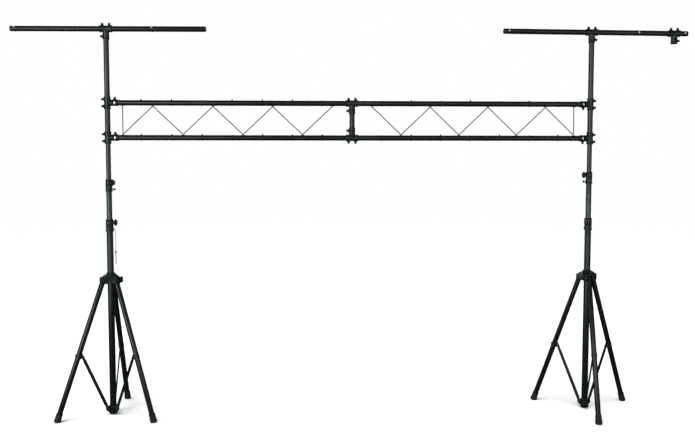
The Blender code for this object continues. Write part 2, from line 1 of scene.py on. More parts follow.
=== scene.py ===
# %% [markdown]
# # A two-mast lighting stand with a truss, piece by piece
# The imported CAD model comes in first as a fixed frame. It says where every tube, casting and joint is.
# Each cell then builds one kind of piece at its real size, and hangs it on the body that carries it.
# %% Load the frame
import json
import math
import bmesh
import bpy
from mathutils import Matrix, Vector


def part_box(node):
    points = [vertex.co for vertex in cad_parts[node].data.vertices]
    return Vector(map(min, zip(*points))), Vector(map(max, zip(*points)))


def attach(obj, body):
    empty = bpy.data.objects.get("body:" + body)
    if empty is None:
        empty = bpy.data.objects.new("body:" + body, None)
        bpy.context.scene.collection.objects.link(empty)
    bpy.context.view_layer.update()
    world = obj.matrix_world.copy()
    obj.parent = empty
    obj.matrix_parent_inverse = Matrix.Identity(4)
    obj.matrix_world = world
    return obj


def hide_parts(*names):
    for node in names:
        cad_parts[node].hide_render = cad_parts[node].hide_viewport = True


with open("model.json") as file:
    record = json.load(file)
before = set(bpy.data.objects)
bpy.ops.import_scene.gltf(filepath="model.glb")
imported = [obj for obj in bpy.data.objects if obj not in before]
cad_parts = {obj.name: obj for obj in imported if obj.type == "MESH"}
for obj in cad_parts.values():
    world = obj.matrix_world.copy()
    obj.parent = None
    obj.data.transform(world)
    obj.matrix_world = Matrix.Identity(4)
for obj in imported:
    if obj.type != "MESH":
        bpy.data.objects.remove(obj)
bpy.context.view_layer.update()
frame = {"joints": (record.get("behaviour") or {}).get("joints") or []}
joints = {joint["name"]: joint for joint in frame["joints"]}
SIDES = ("left", "right")
mast_x = {side: joints[side + "_tbar_swivel"]["pos_m"][0] for side in SIDES}

# %% [markdown]
# ## The camera
# The stand is seen from head height, a little left of its middle, five metres away. The camera comes before
# any piece, because what a cord may cover depends on what the camera sees. Depth of field stays off.
# %% Camera
bpy.ops.object.camera_add(location=(-0.2597, -5.2432, 1.6435),
                          rotation=(math.radians(86.17), 0.0, math.radians(-2.51)))
camera = bpy.context.object
camera.name = "camera"
camera.data.sensor_width = 36.0
camera.data.lens = 41.18
bpy.context.scene.camera = camera
print("camera", tuple(round(v, 3) for v in camera.location))

# %% [markdown]
# ## Tools for the bench
# Most pieces start as a turned outline, a flat plate or a length of tube. These helpers make those starts
# the way a hand would: spin an outline, extrude a plate, inset and bridge the ends of a bar. A cut or a
# union is a Boolean modifier that is applied at once. The finished place goes into the mesh, not the object.
# %% Selecting and placing
CLEAN = 0.00002
SMOOTH_ANGLE = math.radians(38)


def only(*objects):
    bpy.ops.object.select_all(action="DESELECT")
    for each in objects:
        each.select_set(True)
    bpy.context.view_layer.objects.active = objects[0]


def placed(thing, matrix):
    thing.data.transform(matrix)
    return thing


def copy_at(thing, matrix):
    twin = thing.copy()
    twin.data = thing.data.copy()
    bpy.context.scene.collection.objects.link(twin)
    return placed(twin, matrix)


def at(x, y, z):
    return Matrix.Translation((x, y, z))


def turn(degrees, axis):
    return Matrix.Rotation(math.radians(degrees), 4, axis)


X_WAY = turn(90, "Y")
Y_WAY = turn(-90, "X")


# %% Starts and cuts
def from_points(name, points, edges, faces):
    mesh = bpy.data.meshes.new(name)
    mesh.from_pydata(points, edges, faces)
    thing = bpy.data.objects.new(name, mesh)
    bpy.context.scene.collection.objects.link(thing)
    only(thing)
    return thing


def turned(name, outline, steps=40):
    """Spins an outline of (radius, height) points round Z. A ring's outline ends where it starts."""
    closed = outline[0] == outline[-1]
    points = [(radius, 0, height) for radius, height in (outline[:-1] if closed else outline)]
    edges = [(i, i + 1) for i in range(len(points) - 1)] + ([(len(points) - 1, 0)] if closed else [])
    thing = from_points(name, points, edges, [])
    bpy.ops.object.mode_set(mode="EDIT")
    bpy.ops.mesh.select_all(action="SELECT")
    bpy.ops.mesh.spin(steps=steps, angle=math.tau, axis=(0, 0, 1), center=(0, 0, 0))
    bpy.ops.mesh.select_all(action="SELECT")
    bpy.ops.mesh.remove_doubles(threshold=CLEAN)
    bpy.ops.mesh.normals_make_consistent(inside=False)
    bpy.ops.object.mode_set(mode="OBJECT")
    return thing


def plate(name, outline, thickness):
    """Extrudes a flat outline of (x, z) points along Y, and centres it."""
    thing = from_points(name, [(x, -thickness / 2, z) for x, z in outline], [], [tuple(range(len(outline)))])
    bpy.ops.object.mode_set(mode="EDIT")
    bpy.ops.mesh.select_all(action="SELECT")
    bpy.ops.mesh.extrude_region_move(TRANSFORM_OT_translate={"value": (0, thickness, 0)})
    bpy.ops.mesh.select_all(action="SELECT")
    bpy.ops.mesh.normals_make_consistent(inside=False)
    bpy.ops.object.mode_set(mode="OBJECT")
    return thing


def bar(name, radius, low, high, sides=40, far_radius=None):
    """A round bar or cone along Z."""
    bpy.ops.object.select_all(action="DESELECT")
    bpy.ops.mesh.primitive_cone_add(vertices=sides, radius1=radius, radius2=far_radius or radius,
                                    depth=high - low, location=(0, 0, (low + high) / 2))
    thing = bpy.context.object
    thing.name = name
    bpy.ops.object.transform_apply(location=True, rotation=True, scale=True)
    return thing


def hollowed(thing, wall):
    """Insets both ends of a bar and bridges them, which makes it a tube."""
    only(thing)
    bpy.ops.object.mode_set(mode="EDIT")
    bpy.context.tool_settings.mesh_select_mode = (False, False, True)
    bpy.ops.mesh.select_all(action="DESELECT")
    shape = bmesh.from_edit_mesh(thing.data)
    for face in shape.faces:
        face.select_set(abs(face.normal.z) > 0.9)
    bmesh.update_edit_mesh(thing.data)
    bpy.ops.mesh.inset(thickness=wall, use_individual=True)
    bpy.ops.mesh.bridge_edge_loops()
    bpy.ops.mesh.select_all(action="SELECT")
    bpy.ops.mesh.normals_make_consistent(inside=False)
    bpy.ops.object.mode_set(mode="OBJECT")
    return thing


def combine(thing, others, operation="UNION"):
    for other in others:
        only(thing)
        step = thing.modifiers.new("combine", "BOOLEAN")
        step.operation, step.object, step.solver = operation, other, "EXACT"
        bpy.ops.object.modifier_apply(modifier=step.name)
        bpy.data.objects.remove(other)
    return thing


def cut(thing, *cutters):
    return combine(thing, cutters, "DIFFERENCE")


def joined(name, things):
    only(*things)
    if len(things) > 1:
        bpy.ops.object.join()
    things[0].name = name
    return things[0]


def softened(thing, width, segments=2, angle=40):
    """Rounds the edges that a casting or a cut tube never leaves sharp."""
    only(thing)
    step = thing.modifiers.new("soft edges", "BEVEL")
    step.width, step.segments, step.limit_method = width, segments, "ANGLE"
    step.angle_limit = math.radians(angle)
    bpy.ops.object.modifier_apply(modifier=step.name)
    return thing


def fitted(thing, name, body, material, slot, *nodes):
    """Names a finished piece, coats it, and hangs it on its body in place of its CAD nodes."""
    thing.name = name
    thing.data.name = name
    thing.data.materials.clear()
    thing.data.materials.append(material)
    only(thing)
    bpy.ops.object.shade_smooth_by_angle(angle=SMOOTH_ANGLE)
    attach(thing, body)
    if nodes:
        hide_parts(*nodes)
    return thing


# %% [markdown]
# ## Finishes
# Powder coat is never one colour: it has a fine orange peel, it is a little duller where hands go, and dust
# greys it in patches. Each finish mixes two close colours by a broad noise, varies its gloss by a middle
# one and raises its surface with a fine one, all read from Object coordinates in metres. A stretch along Z
# turns the middle noise into the faint rub lines of tubes that slide in each other. A tint colours only the
# reflection: the coat of the two lower stages and of the castings shines a little green.
# %% Material recipe
BROAD_NOISE, GLOSS_NOISE = 22, 140


def finish(name, dark, light, gloss, metallic, grain, height, streak=1.0, shine_level=0.35, tint=(1, 1, 1)):
    material = bpy.data.materials.new(name)
    material.use_nodes = True
    nodes, links = material.node_tree.nodes, material.node_tree.links
    shader = nodes["Principled BSDF"]
    shader.inputs["Metallic"].default_value = metallic
    shader.inputs["Specular IOR Level"].default_value = shine_level
    shader.inputs["Specular Tint"].default_value = (*tint, 1)
    place = nodes.new("ShaderNodeTexCoord")

    def noise(scale, detail, stretch):
        spread = nodes.new("ShaderNodeMapping")
        spread.inputs["Scale"].default_value = (1, 1, stretch)
        links.new(place.outputs["Object"], spread.inputs["Vector"])
        texture = nodes.new("ShaderNodeTexNoise")
        texture.inputs["Scale"].default_value = scale
        texture.inputs["Detail"].default_value = detail
        links.new(spread.outputs["Vector"], texture.inputs["Vector"])
        return texture.outputs["Fac"]

    colours = nodes.new("ShaderNodeValToRGB")
    colours.color_ramp.elements[0].position, colours.color_ramp.elements[1].position = 0.34, 0.68
    colours.color_ramp.elements[0].color = (*dark, 1)
    colours.color_ramp.elements[1].color = (*light, 1)
    links.new(noise(BROAD_NOISE, 5, streak), colours.inputs["Fac"])
    links.new(colours.outputs["Color"], shader.inputs["Base Color"])
    shine = nodes.new("ShaderNodeMapRange")
    shine.inputs["From Min"].default_value, shine.inputs["From Max"].default_value = 0.3, 0.7
    shine.inputs["To Min"].default_value, shine.inputs["To Max"].default_value = gloss
    links.new(noise(GLOSS_NOISE, 4, streak), shine.inputs["Value"])
    links.new(shine.outputs["Result"], shader.inputs["Roughness"])
    bump = nodes.new("ShaderNodeBump")
    bump.inputs["Strength"].default_value = 0.5
    bump.inputs["Distance"].default_value = height
    links.new(noise(grain, 3, 1.0), bump.inputs["Height"])
    links.new(bump.outputs["Normal"], shader.inputs["Normal"])
    return material


# %% The finishes of this stand
RUBBED = 0.06
tube_coat = finish("tube_coat", (0.0016, 0.0026, 0.0021), (0.0050, 0.0066, 0.0056), (0.26, 0.38), 0, 900,
                   0.0001)
slide_coat = finish("slide_coat", (0.0022, 0.0030, 0.0026), (0.0080, 0.0098, 0.0086), (0.24, 0.36), 0, 900,
                    0.0001, RUBBED, 0.43)
column_coat = finish("column_coat", (0.0016, 0.0030, 0.0023), (0.0060, 0.0090, 0.0074), (0.26, 0.38), 0, 900,
                     0.0001, RUBBED, 0.32, (0.76, 1.0, 0.86))
middle_coat = finish("middle_coat", (0.0022, 0.0030, 0.0026), (0.0080, 0.0098, 0.0086), (0.24, 0.36), 0, 900,
                     0.0001, RUBBED, 0.62, (0.78, 1.0, 0.89))
cast_coat = finish("cast_coat", (0.0020, 0.0040, 0.0032), (0.0070, 0.0105, 0.0088), (0.32, 0.46), 0, 620,
                   0.0003, tint=(0.84, 1.0, 0.92))
web_coat = finish("web_coat", (0.030, 0.033, 0.032), (0.060, 0.063, 0.061), (0.30, 0.44), 0, 1100, 0.0001)
knob_plastic = finish("knob_plastic", (0.003, 0.003, 0.003), (0.008, 0.008, 0.008), (0.40, 0.56), 0, 1700,
                      0.0001)
foot_rubber = finish("foot_rubber", (0.004, 0.004, 0.004), (0.012, 0.0115, 0.011), (0.66, 0.88), 0, 800,
                     0.0002)
zinc = finish("zinc", (0.42, 0.42, 0.40), (0.62, 0.62, 0.60), (0.34, 0.50), 0.5, 500, 0.00005, 0.3, 0.5)
chain_steel = finish("chain_steel", (0.05, 0.04, 0.04), (0.14, 0.12, 0.11), (0.34, 0.50), 0.5, 500, 0.00005,
                     0.3, 0.5)
bolt_dark = finish("bolt_dark", (0.020, 0.021, 0.020), (0.050, 0.052, 0.050), (0.30, 0.44), 0.4, 700, 0.00008)
print("finishes", len(bpy.data.materials))

# %% [markdown]
# ## The hanging lanyard
# The left lower collar has a short bead chain, and its locking pin hangs free on the end. It is limp and
# hangs plumb, so its route is one quarter bend out of the boss and a straight drop. Steel beads on a wire
# are turned once and repeated along the route.
# %% Bead chain and hanging pin
CHAIN_ROUTE = (
    (0.0293, 1.2310), (0.0310, 1.2310), (0.0333, 1.2307), (0.0355, 1.2298), (0.0374, 1.2284),
    (0.0388, 1.2265), (0.0397, 1.2243), (0.0400, 1.2220), (0.0401, 1.2150), (0.0400, 1.2050),
    (0.0399, 1.1950), (0.0399, 1.1850), (0.0400, 1.1750), (0.0401, 1.1650), (0.0401, 1.1550),
    (0.0400, 1.1450), (0.0400, 1.1350), (0.0400, 1.1250), (0.0400, 1.1150), (0.0400, 1.1050),
    (0.0400, 1.0960), (0.0400, 1.0890))
PIN_AZIMUTH = {"left_lower": -14, "left_upper": -14, "right_lower": -165, "right_upper": -170}
CHAIN_R = 0.0022
chain_frame = at(mast_x["left"], 0, 0) @ turn(PIN_AZIMUTH["left_lower"], "Z")
chain_path = [chain_frame @ Vector((out, 0, height)) for out, height in CHAIN_ROUTE]
chain_length = sum((b - a).length for a, b in zip(chain_path, chain_path[1:]))


def along(path, distance):
    """The point that lies this far along a path, and the way the path runs there."""
    for a, b in zip(path, path[1:]):
        span = (b - a).length
        if distance <= span or b is path[-1]:
            return a.lerp(b, min(1.0, distance / span)), (b - a).normalized()
        distance -= span


bead = turned("bead", [(0, -0.0022), (0.0014, -0.0017), (0.0022, 0), (0.0014, 0.0017), (0, 0.0022)], 12)
link = bar("link", 0.0007, -0.0029, 0.0029, 8)
unit = joined("bead_unit", [bead, link])
BEAD_PITCH = 0.0050
beads = []
for i in range(int((chain_length - CHAIN_R) / BEAD_PITCH) + 1):
    where, way = along(chain_path, CHAIN_R + i * BEAD_PITCH)
    beads.append(copy_at(unit, Matrix.Translation(where) @ way.to_track_quat("Z", "Y").to_matrix().to_4x4()))
bpy.data.objects.remove(unit)
chain = fitted(joined("lanyard_chain", beads), "lanyard_chain", "left_stand", chain_steel, "zinc_hardware",
               "left_lower_lanyard")
hanging_pin = turned("hanging_pin", [
    (0, -0.0110), (0.0036, -0.0112), (0.0036, -0.0150), (0.0028, -0.0156), (0.0028, -0.0300), (0.0025, -0.0306),
    (0.0028, -0.0312), (0.0028, -0.0820), (0.0018, -0.0865), (0, -0.0870)], 24)
chain_end = chain_frame @ at(CHAIN_ROUTE[-1][0], 0, CHAIN_ROUTE[-1][1])
placed(hanging_pin, chain_end)
fitted(hanging_pin, "hanging_pin", "left_stand", chain_steel, "zinc_hardware", "left_lower_pin")
ball = turned("pin_ball", [
    (0, -0.0003), (0.0026, -0.0004), (0.0030, -0.0012), (0.0050, -0.0026), (0.0062, -0.0052), (0.0062, -0.0082),
    (0.0050, -0.0106), (0.0042, -0.0114), (0, -0.0116)], 28)
fitted(placed(ball, chain_end), "hanging_pin_ball", "left_stand", knob_plastic, "plastic_knobs")
tuple(chain_path[0])
[tuple(p) for p in chain_path]
print("chain", len(beads), "beads,", round(chain_length, 4), "m")

# %% [markdown]
# ## Tubes
# Masts, chords and T-bars are drawn steel tube, cut square and lightly broken at the rim. A bar is inset at
# both ends and bridged to make the bore, then its rims are bevelled. Holes are drilled with thin bars.
# %% Tube maker
def tube(name, radius, wall, low, high):
    return softened(hollowed(bar(name, radius, low, high, 48), wall), 0.0005)


def node_span(node, axis=2):
    low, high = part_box(node)
    return low[axis], high[axis]


COLUMN_R, MIDDLE_R, TOP_R, POLE_R, WALL = 0.0210, 0.0180, 0.0157, 0.0175, 0.0018
POLE_BOTTOM = 1.800

# %% Columns, middle tubes and top tubes
FIRST_PIN_HOLE, PIN_HOLE_PITCH, PIN_HOLES = 0.022, 0.118, 2
for side in SIDES:
    mast = at(mast_x[side], 0, 0)
    column = placed(tube("column", COLUMN_R, 0.0020, *node_span(side + "_column")), mast)
    fitted(column, side + "_column_tube", side + "_stand", column_coat, "coated_tube", side + "_column")
    middle = placed(tube("middle", MIDDLE_R, WALL, *node_span(side + "_middle_tube")), mast)
    fitted(middle, side + "_middle_stage", side + "_middle", middle_coat, "coated_tube", side + "_middle_tube")
    low, high = node_span(side + "_top_tube")
    inner = TOP_R - WALL
    top = turned("top", [
        (inner, low), (TOP_R - 0.0004, low), (TOP_R, low + 0.0005), (TOP_R, POLE_BOTTOM),
        (POLE_R - 0.0004, POLE_BOTTOM + 0.0006), (POLE_R, POLE_BOTTOM + 0.003), (POLE_R, high - 0.0005),
        (POLE_R - 0.0005, high), (inner, high), (inner, low)], 48)
    collar_top = node_span(side + "_upper_collar")[1]
    for step in range(PIN_HOLES):
        height = collar_top + FIRST_PIN_HOLE + step * PIN_HOLE_PITCH
        drill_way = at(0, 0, height) @ turn(PIN_AZIMUTH[side + "_upper"], "Z") @ X_WAY
        cut(top, placed(bar("drill", 0.0035, -0.03, 0.03, 20), drill_way))
    fitted(placed(top, mast), side + "_mast_top", "bridge", slide_coat, "coated_tube", side + "_top_tube")
    print(side, "mast, top tube", round(high - low, 3), "m")

# %% [markdown]
# ## Truss chords and their bolts
# Each section's two chords are 35 mm tube. Bolts go down through them about every 196 mm, where lamps hang.
# A bolt ends in a slender domed nut on a washer on top and has a low button head below. Where nothing hangs,
# a flush bolt has the low button at both ends.
# %% Chords
CHORD_R = 0.0175
chord_z = {level: sum(node_span("left_" + level + "_chord")) / 2 for level in ("upper", "lower")}
BOLT_FIRST, BOLT_PITCH, BOLTS = 0.216, 0.1957, 7
# Counted from the mast, the places where a domed nut stands proud. The others carry a flush bolt.
PROUD = {("left", "upper"): (0, 1, 3, 4, 5), ("right", "upper"): (1, 3, 5),
         ("left", "lower"): (0, 1, 2, 4, 5, 6), ("right", "lower"): (0, 2, 4, 5)}


def hexagon(name, across, low, high):
    return softened(bar(name, across / math.sqrt(3), low, high, 6), 0.0004)


head = turned("head", [
    (0, 0.0082), (0.0020, 0.0079), (0.0034, 0.0066), (0.0038, 0.0052), (0.0038, 0.0020), (0.0054, 0.0018),
    (0.0054, 0.0004), (0.0066, 0.0003), (0.0066, -0.0010), (0, -0.0010)], 24)
button = turned("button", [
    (0, 0.0016), (0.0030, 0.0014), (0.0048, 0.0005), (0.0050, -0.0008), (0, -0.0008)], 24)
chord_bolt = joined("chord_bolt", [placed(head, at(0, 0, CHORD_R)),
                                   copy_at(button, at(0, 0, -CHORD_R) @ turn(180, "X"))])
flush_bolt = joined("flush_bolt", [copy_at(button, at(0, 0, CHORD_R)),
                                   placed(button, at(0, 0, -CHORD_R) @ turn(180, "X"))])
INWARD = {"left": 1, "right": -1}
for side in SIDES:
    for level in ("upper", "lower"):
        node = side + "_" + level + "_chord"
        low, high = node_span(node, 0)
        chord = placed(tube("chord", CHORD_R, WALL, low, high), at(0, 0, chord_z[level]) @ X_WAY)
        fitted(chord, node + "_tube", "bridge", tube_coat, "coated_tube", node)
        row = []
        for i in range(BOLTS):
            x = mast_x[side] + INWARD[side] * (BOLT_FIRST + i * BOLT_PITCH)
            bolt = chord_bolt if i in PROUD[side, level] else flush_bolt
            row.append(copy_at(bolt, at(x, 0, chord_z[level])))
        fitted(joined("row", row), node + "_bolts", "bridge", bolt_dark, "cast_fittings")
for spare in (chord_bolt, flush_bolt):
    bpy.data.objects.remove(spare)
print("chord bolts", 4 * BOLTS)

# %% [markdown]
# ## The bent web
# One round rod is bent into a zigzag and welded between the chords at every bend. It is a curve with a
# round bevel, made a mesh. At each bend a weld bead wraps the rod where it meets the chord.
# %% Web rods with weld beads
WEB_R, WEB_BAYS, WEB_BEND = 0.0033, 7, 0.009
WEB_START, WEB_END_FROM_CENTRE = {"left": 0.097, "right": 0.111}, 0.131
WELD_GAP = 0.0003
web_high = chord_z["upper"] - CHORD_R - WEB_R - WELD_GAP
web_low = chord_z["lower"] + CHORD_R + WEB_R + WELD_GAP


def web_corners(side):
    start = WEB_START[side]
    pitch = (abs(mast_x[side]) - start - WEB_END_FROM_CENTRE) / WEB_BAYS
    corners = [Vector((start, 0, web_high)), Vector((start, 0, web_low))]
    for bay in range(1, WEB_BAYS + 1):
        corners.append(Vector((start + bay * pitch, 0, web_high if bay % 2 else web_low)))
    return corners


def rounded(corners, radius, steps=8):
    route = [corners[0]]
    for before, corner, after in zip(corners, corners[1:], corners[2:]):
        start = corner + (before - corner).normalized() * radius
        end = corner + (after - corner).normalized() * radius
        for i in range(steps + 1):
            t = i / steps
            route.append((1 - t) ** 2 * start + 2 * t * (1 - t) * corner + t ** 2 * end)
    return route + [corners[-1]]


def rod_along(name, points, radius):
    line = bpy.data.curves.new(name, "CURVE")
    line.dimensions, line.bevel_depth, line.bevel_resolution, line.use_fill_caps = "3D", radius, 4, True
    strand = line.splines.new("POLY")
    strand.points.add(len(points) - 1)
    for spot, point in zip(strand.points, points):
        spot.co = (*point, 1)
    thing = bpy.data.objects.new(name, line)
    bpy.context.scene.collection.objects.link(thing)
    only(thing)
    bpy.ops.object.convert(target="MESH")
    return bpy.context.object


weld = turned("weld", [(0, -0.0018), (0.0030, -0.0016), (0.0058, -0.0006), (0.0064, 0.0006), (0.0046, 0.0020),
                       (0.0020, 0.0028), (0, 0.0029)], 20)
WELD_STRETCH = Matrix.Diagonal((1.9, 0.85, 1, 1))
for side in SIDES:
    corners = [Vector((mast_x[side] + INWARD[side] * c.x, 0, c.z)) for c in web_corners(side)]
    parts = [rod_along("rod", rounded(corners, WEB_BEND), WEB_R)]
    for corner in corners:
        up = corner.z > (web_high + web_low) / 2
        spot = at(corner.x, 0, corner.z + (WEB_R if up else -WEB_R))
        parts.append(copy_at(weld, spot @ (turn(180, "X") if up else Matrix()) @ WELD_STRETCH))
    fitted(joined("web", parts), side + "_web_rod", "bridge", web_coat, "web_rod", side + "_web")
bpy.data.objects.remove(weld)
print("web bends", WEB_BAYS + 2, "a side")

# %% [markdown]
# ## Cast tee and its thumb screws
# Nine equal tees clamp the bars together. The sleeve slides over one bar, the flared stub takes the end of
# another, and a round window through the stub shows how far that end has gone in. Two screws bite on the
# sleeve and one on the stub, each in a cone-shaped boss. One tee is modelled, then copied to its places.
# %% Tee casting
TEE_R, TEE_BORE, STUB_R, STUB_BORE = 0.0212, 0.0185, 0.0208, 0.0183
SLEEVE, STUB, SCREW_GAP, SCREW_AT = 0.080, 0.068, 0.045, 0.048
WINDOW_R, WINDOW_AT = 0.0105, 0.044
BOSS_TOP = TEE_R + 0.0062
end, lip = SLEEVE / 2, TEE_R + 0.0014
sleeve = placed(turned("sleeve", [
    (0, -end), (TEE_R - 0.0010, -end), (lip, -end + 0.0014), (lip, -end + 0.0046), (TEE_R, -end + 0.0100),
    (TEE_R - 0.0006, 0), (TEE_R, end - 0.0100), (lip, end - 0.0046), (lip, end - 0.0014),
    (TEE_R - 0.0010, end), (0, end)], 40), X_WAY)
stub = turned("stub", [(0, 0), (STUB_R + 0.0030, -0.0130), (STUB_R + 0.0004, -0.0230), (STUB_R, -0.0400),
                       (STUB_R + 0.0003, -0.0580), (STUB_R + 0.0012, -0.0620), (STUB_R + 0.0012, -0.0665),
                       (STUB_R, -STUB), (0, -STUB)], 36)
boss = bar("boss", 0.0138, TEE_R - 0.0050, BOSS_TOP, 28, 0.0082)
bosses = [copy_at(boss, at(x, 0, 0)) for x in (-SCREW_GAP / 2, SCREW_GAP / 2)]
bosses.append(copy_at(boss, at(0, 0, -SCREW_AT) @ turn(-90, "Y")))
bpy.data.objects.remove(boss)
tee = combine(sleeve, [stub] + bosses)
cut(tee, placed(bar("bore", TEE_BORE, -SLEEVE, SLEEVE, 40), X_WAY),
    bar("stub_bore", STUB_BORE, -0.09, -0.001, 36),
    placed(bar("window", WINDOW_R, -0.04, 0.04, 28), at(0, 0, -WINDOW_AT) @ Y_WAY))
softened(tee, 0.0004, 1, 50)
print("tee faces", len(tee.data.polygons))

# %% Thumb screw
GRIPS = 14
screw = bar("screw", 0.0078, 0.0006, 0.0098, GRIPS * 4, 0.0068)
for vertex in screw.data.vertices:
    angle = math.atan2(vertex.co.y, vertex.co.x)
    grip = 1 + 0.05 * math.cos(GRIPS * angle)
    vertex.co.x, vertex.co.y = vertex.co.x * grip, vertex.co.y * grip
softened(screw, 0.0010, 2, 50)
crown = turned("crown", [(0, 0.0110), (0.0024, 0.0109), (0.0044, 0.0097), (0, 0.0093)], 24)
THREAD_R, THREAD_DEPTH, THREAD_END, HALF_PITCH = 0.0030, 0.0004, -0.0084, 0.0005
ridges = [(THREAD_R - THREAD_DEPTH * (i % 2), THREAD_END + i * HALF_PITCH) for i in range(19)]
thread = turned("thread", [(0, THREAD_END)] + ridges + [(0, 0.0012)], 16)
thumb_screw = placed(joined("thumb_screw", [screw, crown, thread]), at(0, 0, BOSS_TOP))
screws = [copy_at(thumb_screw, at(x, 0, 0)) for x in (-SCREW_GAP / 2, SCREW_GAP / 2)]
screws.append(copy_at(thumb_screw, at(0, 0, -SCREW_AT) @ turn(-90, "Y")))
bpy.data.objects.remove(thumb_screw)
screw_set = joined("screw_set", screws)

# %% Place the nine tees
DOWN, DOWN_RIGHT, UP = Matrix(), turn(180, "Z"), turn(180, "X")
TO_RIGHT = Matrix.Rotation(math.pi, 4, Vector((1, 0, -1)))
TO_LEFT = Matrix.Rotation(math.pi, 4, Vector((1, 0, 1)))


def bar_turn(side):
    x, y, _ = joints[side + "_tbar_slide"]["axis"]
    return Matrix.Rotation(math.atan2(y, x), 4, "Z")


tbar_z = joints["left_tbar_swivel"]["pos_m"][2]
spare_low, spare_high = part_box("spare_tee")
spare_middle = (spare_low + spare_high) / 2
tee_places = {
    "left_upper_truss_tee": ("bridge", at(mast_x["left"], 0, chord_z["upper"]) @ TO_RIGHT),
    "left_lower_truss_tee": ("bridge", at(mast_x["left"], 0, chord_z["lower"]) @ TO_RIGHT),
    "right_upper_truss_tee": ("bridge", at(mast_x["right"], 0, chord_z["upper"]) @ TO_LEFT),
    "right_lower_truss_tee": ("bridge", at(mast_x["right"], 0, chord_z["lower"]) @ TO_LEFT),
    "upper_centre_tee": ("bridge", at(0, 0, chord_z["upper"]) @ DOWN),
    "lower_centre_tee": ("bridge", at(0, 0, chord_z["lower"]) @ UP),
    "left_tbar_tee": ("left_tbar_tee", at(mast_x["left"], 0, tbar_z) @ bar_turn("left") @ DOWN),
    "right_tbar_tee": ("right_tbar_tee", at(mast_x["right"], 0, tbar_z) @ bar_turn("right") @ DOWN_RIGHT),
    "spare_tee": ("spare_tee", at(spare_middle.x, spare_middle.y, tbar_z) @ bar_turn("right") @ DOWN_RIGHT),
}
for node, (body, where) in tee_places.items():
    fitted(copy_at(tee, where), node + "_casting", body, cast_coat, "cast_fittings", node)
    fitted(copy_at(screw_set, where), node + "_screws", body, knob_plastic, "plastic_knobs")
bpy.data.objects.remove(tee)
bpy.data.objects.remove(screw_set)
post = tube("post", POLE_R, WALL, *node_span("centre_post"))
fitted(post, "centre_post_tube", "bridge", tube_coat, "coated_tube", "centre_post")
print("tees", len(tee_places))

# %% [markdown]
# ## T-bars
# Each T-bar is a 35 mm tube closed by a pressed plastic cap at each end. A few bolts go through it where lamps
# hang; the bar is clamped with them rolled up a little from level. Their bright heads stop the tee that slides
# on the bar.
# %% T-bars and end caps
TBAR_HALF = 0.6225
TBAR_HOLES = {"left": (-0.598, 0.278), "right": (-0.590, 0.286, 0.604)}
TBAR_ROLL = {"left": turn(-35, "X"), "right": turn(-10, "X")}
dome = turned("dome", [
    (0, 0.0036), (0.0026, 0.0033), (0.0048, 0.0021), (0.0060, 0.0002), (0.0060, -0.0010), (0, -0.0010)], 28)
placed(dome, at(0, 0, POLE_R))
nut = placed(hexagon("nut", 0.010, -0.0052, 0.0008), at(0, 0, -POLE_R))
bar_bolt = joined("bar_bolt", [dome, nut, bar("core", 0.0040, -POLE_R - 0.0070, POLE_R, 16)])
for side in SIDES:
    low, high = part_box(side + "_tbar")
    middle = (low + high) / 2
    where = at(middle.x, middle.y, tbar_z) @ bar_turn(side) @ TBAR_ROLL[side]
    body = side + "_tbar"
    length = tube("length", POLE_R, WALL, -TBAR_HALF, TBAR_HALF)
    placed(length, X_WAY)
    for x in TBAR_HOLES[side]:
        cut(length, placed(bar("drill", 0.0055, -0.03, 0.03, 24), at(x, 0, 0) @ Y_WAY))
    fitted(placed(length, where), body + "_tube", body, tube_coat, "coated_tube", body)
    row = [copy_at(bar_bolt, where @ at(x, 0, 0) @ turn(90, "X")) for x in TBAR_HOLES[side]]
    fitted(joined("row", row), body + "_bolts", body, zinc, "zinc_hardware")
    caps = []
    for way in (-1, 1):
        cap = turned("cap", [
            (0, -0.012), (0.0140, -0.012), (0.0154, -0.010), (0.0154, 0.0003), (0.0172, 0.0003),
            (0.0172, 0.0016), (0.0150, 0.0028), (0, 0.0032)], 36)
        caps.append(placed(cap, where @ at(way * TBAR_HALF, 0, 0) @ turn(90 * way, "Y")))
    fitted(joined("caps", caps), body + "_caps", body, knob_plastic, "plastic_knobs")
bpy.data.objects.remove(bar_bolt)
print("T-bars", 2 * TBAR_HALF, "m")

# %% [markdown]
# ## Collars
# A collar is pressed on the end of the outer tube and grips the inner one. It has a thick lower band, a
# waist and a rolled lip. One boss carries the clamp knob and a smaller one guides the locking pin.
# %% Collars
KNOB_BELOW_TOP, PIN_ABOVE_BOTTOM = 0.021, 0.016


def heading(joint):
    x, y, _ = joints[joint]["axis"]
    return Matrix.Rotation(math.atan2(y, x), 4, "Z")


